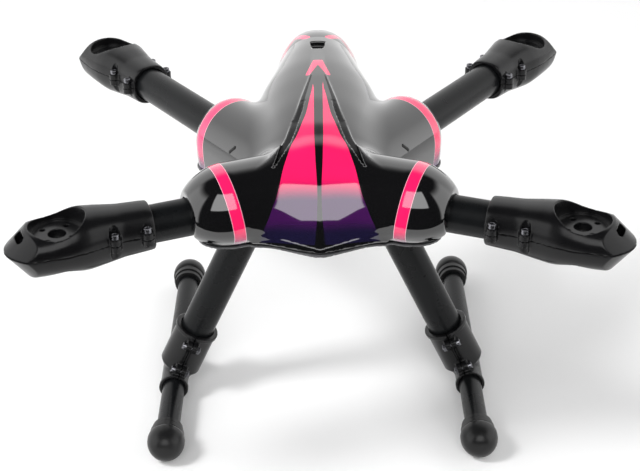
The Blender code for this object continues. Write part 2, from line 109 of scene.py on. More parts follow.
def fieldSurface(field, low, high, step, settle=4):
    # one vertex in every grid cell that the surface crosses, then each is pulled onto the surface
    axes = [np.arange(a, b + step, step) for a, b in zip(low, high)]
    grid = np.stack(np.meshgrid(*axes, indexing="ij"), -1)
    value = np.concatenate([field(slab) for slab in np.array_split(grid, 24)])
    inside = value < 0
    shape = tuple(n - 1 for n in value.shape)
    count = sum(inside[i:shape[0] + i, j:shape[1] + j, k:shape[2] + k].astype(np.int8)
                for i, j, k in itertools.product((0, 1), repeat=3))
    active = (count > 0) & (count < 8)
    cells = np.argwhere(active)
    index = np.full(shape, -1)
    index[active] = np.arange(len(cells))
    total, weight = np.zeros((len(cells), 3)), np.zeros(len(cells))
    for axis in range(3):
        for pair in itertools.product((0, 1), repeat=2):
            start = np.insert(np.array(pair), axis, 0)
            end = np.insert(np.array(pair), axis, 1)
            a, b = value[tuple((cells + start).T)], value[tuple((cells + end).T)]
            crossed = (a < 0) != (b < 0)
            part = np.where(crossed, a / np.where(crossed, a - b, 1.0), 0.0)
            total += (start + part[:, None] * (end - start)) * crossed[:, None]
            weight += crossed
    points = np.array(low) + (cells + total / weight[:, None]) * step
    points = settled(points, field, 0.45 * step, settle)
    triangles = []
    for axis in range(3):
        u, v = [a for a in range(3) if a != axis]
        near, far = [slice(1, -1)] * 3, [slice(1, -1)] * 3
        near[axis], far[axis] = slice(0, -1), slice(1, None)
        a, b = inside[tuple(near)], inside[tuple(far)]
        for crossing, flip in ((a & ~b, axis == 1), (b & ~a, axis != 1)):
            spots = np.argwhere(crossing)
            spots[:, [u, v]] += 1
            ring = []
            for du, dv in ((1, 1), (0, 1), (0, 0), (1, 0)):
                cell = spots.copy()
                cell[:, u] -= du
                cell[:, v] -= dv
                ring.append(index[tuple(cell.T)])
            ring = np.stack(ring[::-1] if flip else ring, -1)
            ring = ring[(ring >= 0).all(1)]
            spread = points[ring]
            short = (np.linalg.norm(spread[:, 0] - spread[:, 2], axis=1)
                     < np.linalg.norm(spread[:, 1] - spread[:, 3], axis=1))
            triangles += [ring[short][:, [0, 1, 2]], ring[short][:, [0, 2, 3]],
                          ring[~short][:, [0, 1, 3]], ring[~short][:, [1, 2, 3]]]
    return points, np.concatenate(triangles)


def settled(points, field, reach, rounds):
    for _ in range(rounds):
        slope = fieldSlope(field, points)
        away = -field(points)[:, None] * slope / np.maximum((slope ** 2).sum(-1, keepdims=True), 0.04)
        size = np.linalg.norm(away, axis=-1, keepdims=True)
        points = points + away * np.minimum(1.0, reach / np.maximum(size, 1e-9))
    return points


def trimmed(points, triangles, clip):
    # keeps the side where clip is below zero; also gives the cut's edges in order of travel
    value = clip(points)
    keep = value < 0
    count = keep[triangles].sum(1)
    mixed = triangles[(count == 1) | (count == 2)]
    alone = keep[mixed].sum(1) == 1
    turn = (keep[mixed] == alone[:, None]).argmax(1)
    mixed = np.take_along_axis(mixed, (turn[:, None] + np.arange(3)) % 3, 1)
    a, b, c = mixed.T
    edges = np.sort(np.concatenate([np.stack([a, b], 1), np.stack([a, c], 1)]), 1)
    edges, index = np.unique(edges, axis=0, return_inverse=True)
    first, last = edges.T
    part = value[first] / (value[first] - value[last])
    points = np.concatenate([points, points[first] + part[:, None] * (points[last] - points[first])])
    ab, ac = index.reshape(2, -1) + len(value)
    triangles = np.concatenate([triangles[count == 3], np.stack([a, ab, ac], 1)[alone],
                                np.stack([ab, b, c], 1)[~alone], np.stack([ab, c, ac], 1)[~alone]])
    rim = np.concatenate([np.stack([ab, ac], 1)[alone], np.stack([ac, ab], 1)[~alone]])
    used = np.unique(triangles)
    fresh = np.full(len(points), -1)
    fresh[used] = np.arange(len(used))
    return points[used], fresh[triangles], fresh[rim]


def ringsFrom(rim):
    # chains cut edges into closed rings
    following = dict(rim.tolist())
    rings = []
    while following:
        start = next(iter(following))
        ring, at = [], start
        while at in following:
            ring.append(at)
            at = following.pop(at)
        rings.append(ring)
    return rings


def bridged(points, outer, inner):
    # triangles that close the gap between two rings running the same way
    start = int(np.argmin(np.linalg.norm(points[inner] - points[outer[0]], axis=1)))
    outer, inner = outer + outer[:1], inner[start:] + inner[:start + 1]
    i = j = 0
    faces = []
    while i < len(outer) - 1 or j < len(inner) - 1:
        ahead = (np.linalg.norm(points[outer[i + 1]] - points[inner[j]]) if i < len(outer) - 1 else math.inf)
        behind = (np.linalg.norm(points[outer[i]] - points[inner[j + 1]]) if j < len(inner) - 1 else math.inf)
        if ahead <= behind:
            faces.append((outer[i + 1], outer[i], inner[j]))
            i += 1
        else:
            faces.append((outer[i], inner[j], inner[j + 1]))
            j += 1
    return faces


def shellSurface(field, low, high, step, clip, wall, innerStep):
    # an open shell: the outer face, a coarser inner face and the rim between them
    points, triangles, rim = trimmed(*fieldSurface(field, low, high, step), clip)
    inner = lambda place: field(place) + wall
    innerPoints, innerTriangles, innerRim = trimmed(*fieldSurface(inner, low, high, innerStep), clip)
    outerCount = len(points)
    rings = sorted(ringsFrom(rim), key=len)
    innerRings = sorted(ringsFrom(innerRim), key=len)
    print("shell rings", [len(ring) for ring in rings], [len(ring) for ring in innerRings])
    points = np.concatenate([points, innerPoints])
    faces = [triangles, innerTriangles[:, ::-1] + outerCount]
    for ring, other in zip(rings[-1:], innerRings[-1:]):
        faces.append(np.array(bridged(points, ring, [vertex + outerCount for vertex in other])))
    return points, np.concatenate(faces), outerCount


def meshFrom(name, points, triangles):
    mesh = bpy.data.meshes.new(name)
    mesh.vertices.add(len(points))
    mesh.vertices.foreach_set("co", points.ravel())
    mesh.loops.add(triangles.size)
    mesh.loops.foreach_set("vertex_index", triangles.ravel())
    mesh.polygons.add(len(triangles))
    mesh.polygons.foreach_set("loop_start", np.arange(0, triangles.size, 3))
    mesh.update(calc_edges=True)
    mesh.validate()
    mesh.shade_smooth()
    return mesh


def fieldNormals(points, field):
    normals = fieldSlope(field, points, 0.15)
    return normals / np.maximum(np.linalg.norm(normals, axis=-1, keepdims=True), 1e-9)


def hubMatrix(matrix=None):
    # millimetres about the hub to metres in the row frame
    base = Matrix.Translation(Vector(hub * mm)) @ Matrix.Scale(mm, 4)
    return base @ matrix if matrix is not None else base


def newPiece(name, mesh, material, body, replaced=()):
    piece = bpy.data.objects.new(name, mesh)
    bpy.context.scene.collection.objects.link(piece)
    mesh.materials.clear()
    mesh.materials.append(material)
    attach(piece, body)
    if replaced:
        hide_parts(*replaced)
    return piece


# materials

class Wire:
    # wraps a shader socket so that maths on it can be written as an expression
    def __init__(self, builder, socket):
        self.builder, self.socket = builder, socket

    def math(self, kind, other, swap=False):
        values = [other, self] if swap else [self, other]
        return self.builder.node("ShaderNodeMath", {"operation": kind}, values)

    def __add__(self, other):
        return self.math("ADD", other)

    def __radd__(self, other):
        return self.math("ADD", other, True)

    def __sub__(self, other):
        return self.math("SUBTRACT", other)

    def __rsub__(self, other):
        return self.math("SUBTRACT", other, True)

    def __mul__(self, other):
        return self.math("MULTIPLY", other)

    def __rmul__(self, other):
        return self.math("MULTIPLY", other, True)

    def __truediv__(self, other):
        return self.math("DIVIDE", other)

    def __pow__(self, other):
        return self.math("POWER", other)


class Builder:
    def __init__(self, name=None, tree=None):
        if name:
            self.material = bpy.data.materials.new(name)
            self.material.use_nodes = True
            tree = self.material.node_tree
            self.shader = tree.nodes["Principled BSDF"]
        self.tree = tree

    def node(self, kind, settings=None, values=(), output=0):
        made = self.tree.nodes.new(kind)
        for key, value in (settings or {}).items():
            if key == "stops":
                ramp = made.color_ramp.elements
                while len(ramp) < len(value):
                    ramp.new(0.5)
                for stop, (place, colour) in zip(ramp, value):
                    stop.position, stop.color = place, (*colour, 1.0)
            else:
                setattr(made, key, value)
        pairs = values.items() if isinstance(values, dict) else enumerate(values)
        for key, value in pairs:
            if isinstance(value, Wire):
                self.tree.links.new(value.socket, made.inputs[key])
            elif value is not None:
                made.inputs[key].default_value = value
        return Wire(self, made.outputs[output])

    def place(self):
        return self.node("ShaderNodeTexCoord", output=3)

    def attribute(self, name):
        return self.node("ShaderNodeAttribute", {"attribute_name": name}, output=2)

    def step(self, value, low, high):
        return self.node("ShaderNodeMapRange", {"interpolation_type": "SMOOTHSTEP"},
                         {"Value": value, "From Min": low, "From Max": high})

    def noise(self, vector, scale, detail=3.0, roughness=0.5):
        return self.node("ShaderNodeTexNoise", {}, {"Vector": vector, "Scale": scale, "Detail": detail,
                                                    "Roughness": roughness})

    def stretched(self, vector, scale):
        return self.node("ShaderNodeVectorMath", {"operation": "MULTIPLY"}, [vector, scale])

    def mix(self, amount, a, b):
        values = {0: amount, 6: a, 7: b}
        return self.node("ShaderNodeMix", {"data_type": "RGBA"}, values, output=2)

    def bump(self, height, strength, distance):
        return self.node("ShaderNodeBump", {}, {"Height": height, "Strength": strength, "Distance": distance})

    def split(self, vector):
        made = self.tree.nodes.new("ShaderNodeSeparateXYZ")
        self.tree.links.new(vector.socket, made.inputs[0])
        return [Wire(self, output) for output in made.outputs]

    def finish(self, **values):
        for key, value in values.items():
            socket = self.shader.inputs[key.replace("_", " ")]
            if isinstance(value, Wire):
                self.tree.links.new(value.socket, socket)
            else:
                socket.default_value = value
        return self.material


def rgb(red, green, blue):
    return (red, green, blue, 1.0)


canopyPaint = {
    "black": rgb(0.0035, 0.0035, 0.004), "pink": rgb(1.0, 0.012, 0.13), "plum": rgb(0.045, 0.006, 0.07),
    # the pale edge colour is a painted highlight along the edges of the rings
    "navy": rgb(0.008, 0.006, 0.028), "edge": rgb(0.75, 0.55, 0.62), "ringHighlightWidth": 0.35, "blur": 0.07,
    "pinkFade": (13.0, 27.0), "plumFade": (-6.0, 4.0), "ringFade": (-17.0, 2.0),
    "tailBlur": 0.4, "slitBlur": 0.2, "roughness": 0.055, "slitRoughness": 0.4,
}


def makeCanopyMaterial():
    paint, b = canopyPaint, Builder("canopyGloss")
    height, ring, blur = b.attribute("height"), b.attribute("ringEdge"), paint["blur"]
    # panels fade downwards from pink through plum to navy
    dark = b.mix(b.step(height, *paint["plumFade"]), paint["navy"], paint["plum"])
    colour = b.mix(b.step(height, *paint["pinkFade"]), dark, paint["pink"])
    body = b.mix(b.step(b.attribute("panelEdge"), -blur, blur), paint["black"], colour)
    # rings, with a painted highlight: a pale line along their edges
    ringed = b.step(ring, -blur, blur)
    ringColour = b.mix(b.step(height, *paint["ringFade"]), paint["plum"], paint["pink"])
    body = b.mix(ringed, body, ringColour)
    tail = b.step(b.attribute("tailEdge"), -paint["tailBlur"], paint["tailBlur"])
    body = b.mix(tail, body, paint["pink"])
    # painted highlight: a pale line just inside both edges of each ring
    ringHighlight = ringed * b.step(paint["ringHighlightWidth"] - ring, -blur, blur)
    body = b.mix(ringHighlight * 0.75, body, paint["edge"])
    # slits are painted shade: dull and dark, on the cut groove and on past its end as paint alone
    slit = b.step(b.attribute("slitEdge"), -paint["slitBlur"], paint["slitBlur"])
    body = b.mix(slit, body, paint["black"])
    speckle = b.noise(b.place(), 900.0, 2.0)
    wave = b.noise(b.place(), 60.0, 2.0)
    roughness = paint["roughness"] + speckle * 0.02 + slit * paint["slitRoughness"]
    return b.finish(Base_Color=body, Roughness=roughness, Coat_Weight=1 - slit * 0.9, Coat_Roughness=0.02,
                    IOR=1.55, Normal=b.bump(wave, 0.25, 0.00012))


def makePlastic(name, colour, roughness, grain=1800.0, bump=0.00004, shine=0.2, variation=0.35):
    b = Builder(name)
    place = b.place()
    fine = b.noise(place, grain, 2.0)
    broad = b.noise(place, 45.0, 3.0)
    darker, lighter = ([part * (1 + sign * variation) for part in colour] for sign in (-1, 1))
    shade = b.mix(broad, rgb(*darker), rgb(*lighter))
    return b.finish(Base_Color=shade, Roughness=roughness - 0.06 + broad * 0.12, Specular_IOR_Level=shine,
                    Normal=b.bump(fine, 0.35, bump))


# canopy

canopy = {
    "low": (-95, -60, -22), "high": (95, 216, 58), "base": -18.0, "wall": 1.8, "step": 1.15, "innerStep": 3.0,
    "bodyWidth": ((-40, 32), (-10, 41), (13, 45), (41, 48), (75, 50), (98, 49.5), (145, 37), (180, 31),
                  (230, 22)),
    "bodyTop": ((-40, 24), (-10, 34), (13, 42.2), (41, 47.4), (75, 50.4), (101, 51.3), (135, 50.6),
                (160, 48.5), (230, 40)),
    "bodyStart": 3.0, "noseLength": 35.0, "bodyEnd": 152.0, "tailLength": 58.0, "power": 2.3,
    "beakLine": ((-60, -37.5), (-54, -19), (-46.4, 4.4), (-32.1, 22.7), (-10.9, 36), (13.2, 43.8), (41, 48.7),
                 (76, 51.0), (98, 51.4), (120, 49.5), (160, 42)),
    "sweep": 0.12, "droop": 0.07, "edgeRise": 0.21, "under": 0.45, "lip": 0.3,
    "lipAt": 2.2, "lipSpread": 1.5, "beakTip": -53.0,
    "beakSide": ((-60, 47), (-35, 38), (-17, 30), (8.4, 21), (29.1, 14.8), (74.2, 5.6), (110, 3.0)),
    "slitStart": -22.4, "slitCorner": 29.1, "slitEnd": 40.0, "slitShadeEnd": 77.0, "slitDepth": 3.0,
    "slitWidth": ((-30, 8.0), (-17, 6.8), (-8, 5.9), (10, 5.2), (30, 3.7), (60, 1.9), (86, 0.8)),
    "spineWidth": ((-75, 3.4), (-60, 3.1), (-42, 1.7), (-25, 1.3), (-8, 1.5), (8, 2.2), (42, 3.0),
                   (110, 3.0)),
    "panelWidth": ((-75, 44), (-53.5, 36.9), (-38.5, 31.7), (-20.8, 27), (-11.4, 25.4), (6, 23), (31.6, 18.1),
                   (42.2, 14.4), (71.2, 8.0), (103.6, 4.4), (116, 3.2), (140, 3.0)),
    "panelEnd": 68.0, "panelFoot": -12.0,
}
hatch = {"middle": 132.5, "halfWidth": 4.6, "flare": 0.10, "front": 124.6, "round": 0.09, "back": 140.5,
         "floor": 45.5}
chevron = {"tip": 101.5, "foot": 77.5, "tipWidth": 3.2, "spread": 0.24, "notch": 93.0, "notchSpread": 0.36}
tailStroke = {"halfWidth": 2.7, "path": ((8.1, 152.6, 48.2), (16.4, 165.3, 43.0), (21.2, 159.7, 39.2),
                                         (24.8, 154.5, 34.6), (28.8, 162.0, 26.1))}
sleeves = {
    "front": {"radius": 29.5, "above": 1.085, "below": 0.70, "start": 62.0, "end": 92.0,
              "ring": (62.2, 70.2), "ringLean": 0.12},
    "rear": {"radius": 28.3, "above": 1.03, "below": 2.2, "start": 106.0, "end": 122.0,
             "ring": (101.0, 110.0), "ringLean": 0.02},
}
mouthRadius = 16.5
mouthGap = 0.9
mouthDepth = 24.0
tubeRadius = 12.5
unpainted = -9.0    # well outside any painted area
bodyWidth = stations(canopy["bodyWidth"], 7.0)
bodyTop = stations(canopy["bodyTop"], 7.0)
beakHeight = stations(canopy["beakLine"], 2.6, -160, 260)
beakSide = stations(canopy["beakSide"], 3.0)
slitWidth = stations(canopy["slitWidth"], 2.0)
spineWidth = stations(canopy["spineWidth"], 3.0)
panelWidth = stations(canopy["panelWidth"], 3.0)


def armPlace(points, end):
    # distance along the nearer arm, across it and up, folded onto the left side
    direction = armDirection(end)
    x, y = np.abs(points[..., 0]), points[..., 1]
    return x * direction[0] + y * direction[1], x * direction[1] - y * direction[0], points[..., 2]


def fuselageField(points):
    x, y, z = points[..., 0], points[..., 1], points[..., 2]
    power, base = canopy["power"], canopy["base"]
    up = np.maximum(z - base, 0.0)
    middle = np.clip(y, canopy["bodyStart"], canopy["bodyEnd"])
    past = np.where(y > middle, (y - middle) / canopy["tailLength"], (middle - y) / canopy["noseLength"])
    width = bodyWidth(middle)
    ratio = ((np.abs(x) / width) ** power + (up / (bodyTop(middle) - base)) ** power
             + np.abs(past) ** power) ** (1 / power)
    radial = np.sqrt(x * x + up * up + (y - middle) ** 2)
    return radial * (1.0 - 1.0 / np.maximum(ratio, 0.05))


def beakSurface(x, y):
    away = np.sqrt(x * x + 2.0) - math.sqrt(2.0)
    place = y - canopy["sweep"] * away
    return beakHeight(place) - canopy["droop"] * away


def beakReach(points):
    # distance inside the beak's side line
    return (beakSide(points[..., 1]) - np.abs(points[..., 0])) * 0.95


def beakField(points):
    x, y, z = points[..., 0], points[..., 1], points[..., 2]
    top = beakSurface(x, y)
    slopeY = (beakSurface(x, y + 0.5) - beakSurface(x, y - 0.5))
    slopeX = (beakSurface(x + 0.5, y) - beakSurface(x - 0.5, y))
    rise = 1.0 / np.sqrt(1 + slopeX ** 2 + slopeY ** 2)
    # the lower edge rises to each side and the face tucks under below it
    edge = canopy["base"] + canopy["edgeRise"] * np.abs(x)
    bulge = canopy["lip"] * np.exp(-((z - edge - canopy["lipAt"]) / canopy["lipSpread"]) ** 2)
    under = (edge - z - canopy["under"] * (y - canopy["beakTip"])) * 0.9
    return smoothMax(smoothMax((z - top) * rise - bulge, under, 0.6), -beakReach(points), 1.2)


def slitOutline(points):
    # seen from above: a long sliver just inside the beak's side line, pointed in front
    x, y = points[..., 0], points[..., 1]
    width = slitWidth(y)
    inset = np.clip(-0.12 * y, 0.0, 2.5)
    across = np.abs(beakReach(points) - inset - width / 2 + 0.1) - width / 2
    start = canopy["slitStart"]
    front = np.maximum((2.0 * (canopy["slitCorner"] - np.abs(x)) + start - y) * 0.45, start - y)
    return np.maximum(np.maximum(across, front), y - canopy["slitShadeEnd"])


def slitField(points):
    y, z = points[..., 1], points[..., 2]
    depth = canopy["slitDepth"] * np.clip((canopy["slitEnd"] - y) / 20.0, 0.1, 1.0)
    floor = beakSurface(points[..., 0], y) - depth
    return np.maximum(np.maximum(slitOutline(points), floor - z), y - canopy["slitEnd"])


def sleeveField(points, end):
    size = sleeves[end]
    along, across, up = armPlace(points, end)
    past = np.maximum(along - size["start"], 0.0)
    reach = math.acos(mouthRadius / size["radius"])
    length = (size["end"] - size["start"]) / math.sin(reach)
    lift = (up + 1.0) / np.where(up > -1.0, size["above"], size["below"])
    around = np.sqrt(across ** 2 + lift ** 2)
    ratio = np.sqrt((around / size["radius"]) ** 2 + (past / length) ** 2)
    radial = np.sqrt(around ** 2 + past ** 2)
    body = radial * (1 - 1 / np.maximum(ratio, 0.05))
    return smoothMax(np.maximum(body, -along), along - size["end"], 1.0)


def hatchField(points):
    # the dark slot near the tail's top, wider behind and rounded in front
    x, y, z = points[..., 0], points[..., 1], points[..., 2]
    width = hatch["halfWidth"] + hatch["flare"] * (y - hatch["middle"])
    front = hatch["front"] - y + hatch["round"] * x * x
    outline = np.maximum(np.abs(x) - width, np.maximum(y - hatch["back"], front))
    return np.maximum(outline, hatch["floor"] - z)


def canopyOutside(points):
    solid = smoothMin(fuselageField(points), beakField(points), 2.0)
    for end in ("front", "rear"):
        solid = smoothMin(solid, sleeveField(points, end), 8.0)
    return smoothMax(smoothMax(solid, -slitField(points), 0.9), -hatchField(points), 0.5)


def mouthField(points, end):
    along, across, up = armPlace(points, end)
    hole = np.where(up > 0, np.sqrt(across ** 2 + up ** 2), np.abs(across)) - tubeRadius - mouthGap
    return np.maximum(hole, sleeves[end]["end"] - mouthDepth - along)


def canopyClip(points):
    openings = np.minimum(mouthField(points, "front"), mouthField(points, "rear"))
    return np.maximum(canopy["base"] + 0.2 - points[..., 2], -openings)


def strokeDistance(points, path):
    # distance from a line through a few places, the same on both sides
    folded = np.abs(points) * (1, 0, 0) + points * (0, 1, 1)
    nearest = np.full(points.shape[:-1], 99.0)
    for first, last in zip(np.array(path), np.array(path)[1:]):
        span = last - first
        part = np.clip((folded - first) @ span / (span @ span), 0.0, 1.0)
        nearest = np.minimum(nearest, np.linalg.norm(folded - first - part[..., None] * span, axis=-1))
    return nearest


def panelMark(points, slit):
    # two long panels beside the spine, inside the slits, and the chevron above them
    x, y, z = points.T
    away = np.abs(x)
    panel = np.minimum(panelWidth(y + z) - away, away - spineWidth(y + z))
    panel = np.minimum(panel, np.minimum(z - canopy["panelFoot"], canopy["panelEnd"] - y))
    # the panels stop short of the slits, which stay black there as painted shade
    panel = np.minimum(panel, slit - 0.25)
    side = chevron["tipWidth"] + (chevron["tip"] - y) * chevron["spread"] - away
    notch = away - (chevron["notch"] - y) * chevron["notchSpread"]
    arrow = np.minimum(np.minimum(side, chevron["tip"] - y), np.minimum(notch, y - chevron["foot"]))
    return np.maximum(panel, np.where(z > 40, arrow, unpainted))


def ringMark(points):
    mark = np.full(len(points), unpainted)
    for end, size in sleeves.items():
        along, across, up = armPlace(points, end)
        near = np.sqrt(across ** 2 + (up + 1) ** 2) < size["radius"] + 5
        lean = along - size["ringLean"] * up
        low, high = size["ring"]
        mark = np.maximum(mark, np.where(near, np.minimum(lean - low, high - lean), unpainted))
    return mark


def canopyMarks(points):
    # distances inside each painted area, in millimetres
    slit, height = slitOutline(points), points[:, 2]
    return {"panelEdge": panelMark(points, slit), "ringEdge": ringMark(points), "height": height,
            "tailEdge": tailStroke["halfWidth"] - strokeDistance(points, tailStroke["path"]),
            # the slit mark is painted shade, running on past the end of the cut groove
            "slitEdge": np.where(height > 20.0, -slit, unpainted)}


def makeCanopy(material):
    points, triangles, outerCount = shellSurface(canopyOutside, canopy["low"], canopy["high"], canopy["step"],
                                                 canopyClip, canopy["wall"], canopy["innerStep"])
    mesh = meshFrom("canopy", points, triangles)
    normals = fieldNormals(points, canopyOutside)
    normals[outerCount:] *= -1
    mesh.normals_split_custom_set_from_vertices(normals)
    for name, values in canopyMarks(points).items():
        if name != "height":
            values[outerCount:] = unpainted
        layer = mesh.attributes.new(name, "FLOAT", "POINT")
        layer.data.foreach_set("value", values.astype(np.float32))
    mesh.transform(hubMatrix())
    newPiece("canopy", mesh, material, "canopy", ["canopy_shell"])
    print("canopy", len(mesh.polygons), "faces")


catch = {"from": (57.5, 38.6, 13.8), "to": (61.2, 40.2, 10.0), "radius": 1.7, "sunk": 1.0, "step": 0.4}


def makeCatchSlotShades(material):
    # a small dark capsule, almost flush, on the inner side of each rear sleeve: painted shade standing in for
    # the engraved slot of a catch
    ends = settled(np.array((catch["from"], catch["to"])), canopyOutside, 1.0, 8)
    ends -= catch["sunk"] * fieldNormals(ends, canopyOutside)
    low, high = ends.min(0) - 2.0, ends.max(0) + 2.0
    field = lambda place: strokeDistance(place, ends) - catch["radius"]
    points, triangles = fieldSurface(field, low, high, catch["step"])
    mesh = meshFrom("catches", np.concatenate([points, points * (-1, 1, 1)]),
                    np.concatenate([triangles, triangles[:, ::-1] + len(points)]))
    mesh.transform(hubMatrix())
    newPiece("sleeve_catches", mesh, material, "canopy")


# belly tray: a thin plate with a rim just proud of the canopy's lower edge

tray = {"proud": 1.0, "top": -18.1, "bottom": -19.8, "legHole": 16.9, "stretch": 4.0, "step": 1.6}


def trayField(points):
    flat = points * (1, 1, 0) + (0, 0, canopy["base"] + 0.3)
    outline = canopyOutside(flat) - tray["proud"]
    for _, side in sides:
        spot = np.array(legMatrix(side).inverted())
        local = points @ spot[:3, :3].T + spot[:3, 3]
        outline = np.maximum(outline, tray["legHole"] - np.hypot(local[..., 0], local[..., 1]))
    return smoothMax(outline, np.maximum(points[..., 2] - tray["top"], tray["bottom"] - points[..., 2]), 0.3)


def makeTray(material):
    # worked out in a space stretched upwards, so that the grid can resolve a thin plate
    stretch = np.array((1.0, 1.0, tray["stretch"]))
    low, high = (-95, -60, tray["stretch"] * -20.6), (95, 214, tray["stretch"] * -17.4)
    points, triangles = fieldSurface(lambda place: trayField(place / stretch), low, high, tray["step"])
    points /= stretch
    mesh = meshFrom("tray", points, triangles)
    mesh.normals_split_custom_set_from_vertices(fieldNormals(points, trayField))
    mesh.transform(hubMatrix())
    newPiece("tray", mesh, material, "frame", ["belly_tray"])
    print("tray", len(triangles), "triangles")


# pods: local x runs out along the arm, z is up, and the halves meet at z = 0

pod = {
    "start": 59.5, "length": 93.9, "seatAt": 59.5, "seatHeight": 6.4, "seatRadius": 17.0, "ledge": 1.5,
    "centreHole": 5.6, "screwHole": 1.6, "screwRing": 11.0, "bore": 12.8, "boreEnd": 39.0, "power": 2.5,
    "width": ((0, 14.9), (2, 15.3), (20, 15.9), (33, 18.2), (43, 20.4), (49, 21.3), (57, 21.6), (66, 21.4),
              (76, 20.4), (84, 19.2), (94, 17.5)),
    "height": ((0, 14.9), (2, 15.3), (20, 16.4), (33, 18.2), (43, 19.1), (49, 18.3), (57, 16.2), (66, 14.2),
               (76, 13.4), (84, 13.0), (94, 12.6)),
    "depth": ((0, 14.9), (2, 15.3), (20, 16.4), (33, 18.2), (43, 19.1), (49, 18.6), (57, 17.8), (66, 17.3),
              (76, 17.0), (84, 16.6), (94, 16.0)),
    "bolts": ((6.0, 17.2), (27.0, 17.2)), "bolt": 1.6, "pocket": 3.3, "boss": 3.8, "headSeat": 4.4,
    "slotAt": (84.0, 9.6), "slotHalf": 3.4, "slotRadius": 2.9, "gap": 0.08, "step": 0.75,
    "low": (-2, -24, -0.8), "high": (96, 24, 21),
}
podWidth = stations(pod["width"], 1.6, -30, 130)
podHeight = stations(pod["height"], 1.6, -30, 130)
podDepth = stations(pod["depth"], 1.6, -30, 130)


def capsule(along, across, length, radius):
    past = np.abs(along) - np.minimum(np.abs(along), length)
    return np.sqrt(past ** 2 + across ** 2) - radius


def podField(points, upper=True):
    x, y, z = points[..., 0], points[..., 1], points[..., 2]
    power, tall = pod["power"], podHeight(x) if upper else podDepth(x)
    ratio = ((np.abs(y) / podWidth(x)) ** power + (np.abs(z) / tall) ** power) ** (1 / power)
    body = np.sqrt(y * y + z * z) * (1 - 1 / np.maximum(ratio, 0.05))
    tip = x - pod["length"] + y * y / 34.0
    body = smoothMax(body, tip * 0.66 + z * 0.75 if upper else tip * 0.80 + z * 0.60, 0.5)
    body = smoothMax(body, -x, 0.8)
    # clamp screw bosses and the pockets their heads sit in
    for place, side in pod["bolts"]:
        around = np.sqrt((x - place) ** 2 + (np.abs(y) - side) ** 2)
        body = smoothMin(body, np.maximum(around - pod["boss"], z - pod["headSeat"]), 1.6)
        body = smoothMax(body, -np.maximum(around - pod["pocket"], pod["headSeat"] - z), 0.4)
        body = smoothMax(body, -(around - pod["bolt"]), 0.2)
    # the motor seat, open above, with a scooped wall on the arm side
    flat = np.sqrt((x - pod["seatAt"]) ** 2 + y * y)
    slant = flat - pod["seatRadius"] - 0.16 * np.maximum(z - 9.0, 0.0)
    body = smoothMax(body, -np.maximum(slant, pod["seatHeight"] + 0.9 - z), 0.7)
    body = smoothMax(body, -np.maximum(flat - pod["seatRadius"] + pod["ledge"], pod["seatHeight"] - z), 0.3)
    body = smoothMax(body, -(flat - pod["centreHole"]), 0.4)
    diagonal = pod["screwRing"] * math.sqrt(0.5)
    holes = np.sqrt((np.abs(x - pod["seatAt"]) - diagonal) ** 2 + (np.abs(y) - diagonal) ** 2)
    body = smoothMax(body, -(holes - pod["screwHole"]), 0.3)
    bore = np.maximum(np.sqrt(y * y + z * z) - pod["bore"], x - pod["boreEnd"])
    body = smoothMax(body, -bore, 0.4)
    if upper:
        slotX, slotZ = pod["slotAt"]
        slot = capsule(y, (x - slotX) * 0.75 - (z - slotZ) * 0.66, pod["slotHalf"], pod["slotRadius"])
        body = smoothMax(body, -np.maximum(slot, 4.0 - z), 0.4)
    return smoothMax(body, pod["gap"] - z, 0.2)


def lowerPodField(points):
    return podField(points, False)


def makePods(material):
    halves = {}
    for half, field in (("upper", podField), ("lower", lowerPodField)):
        points, triangles = fieldSurface(field, pod["low"], pod["high"], pod["step"])
        halves[half] = points, triangles, fieldNormals(points, field)
    for end, word, side in armNames:
        place = podPlace(end, side)
        for half, (points, triangles, normals) in halves.items():
            mesh = meshFrom(f"pod_{half}", points, triangles)
            if half == "lower":
                place = place @ Matrix.Rotation(math.pi, 4, "X")
            mesh.normals_split_custom_set_from_vertices(normals)
            mesh.transform(hubMatrix(place))
            newPiece(f"pod_{half}_{end}_{word}_visual", mesh, material, f"pod_{end}_{word}",
                     [f"pod_{half}_{end}_{word}"])
    print("pods", len(halves["upper"][1]), "triangles a half")


# turned parts: a profile of (distance along, radius) spun about z

def turned(name, profile, places, segments=64, sharp=32.0):
    bm = bmesh.new()
    for place in places:
        rings = []
        for along, radius in profile:
            if radius < 1e-6:
                rings.append([bm.verts.new(place @ Vector((0, 0, along)))])
                continue
            rings.append([bm.verts.new(place @ Vector((radius * math.cos(a), radius * math.sin(a), along)))
                          for a in (math.tau * i / segments for i in range(segments))])
        for first, second in zip(rings, rings[1:] + (rings[:1] if profile[0][1] > 1e-6 else [])):
            for i in range(segments):
                j = (i + 1) % segments
                corners = [first[i % len(first)], first[j % len(first)], second[j % len(second)],
                           second[i % len(second)]]
                unique = list(dict.fromkeys(corners))
                if len(unique) > 2:
                    bm.faces.new(unique)
    bmesh.ops.recalc_face_normals(bm, faces=bm.faces)
    mesh = bpy.data.meshes.new(name)
    bm.to_mesh(mesh)
    bm.free()
    mesh.shade_smooth()
    mesh.set_sharp_from_angle(angle=math.radians(sharp))
    return mesh


def aimed(place, direction):
    # z axis of a turned part along a direction from a place, in hub millimetres
    turn = Vector(direction).normalized().to_track_quat("Z", "Y").to_matrix().to_4x4()
    return Matrix.Translation(Vector(place)) @ turn


tube = {"radius": tubeRadius, "wall": 1.4, "edge": 0.35, "start": 24.0, "skidRadius": 8.3, "skidFrom": -22.0,
        "skidTo": 197.5}


def tubeProfile(length, radius, wall, edge):
    return [(0, radius - edge), (edge, radius), (length - edge, radius), (length, radius - edge),
            (length, radius - wall + edge), (length - edge, radius - wall), (edge, radius - wall),
            (0, radius - wall + edge)]


leg = {"splay": 25.0, "place": (111.8, 61.5, -186.6), "from": 13.5, "topGap": 7.0, "plate": -15.9}


def legMatrix(side):
    x, y, z = leg["place"]
    return Matrix.Translation((side * x, y, z)) @ Matrix.Rotation(math.radians(-side * leg["splay"]), 4, "Y")


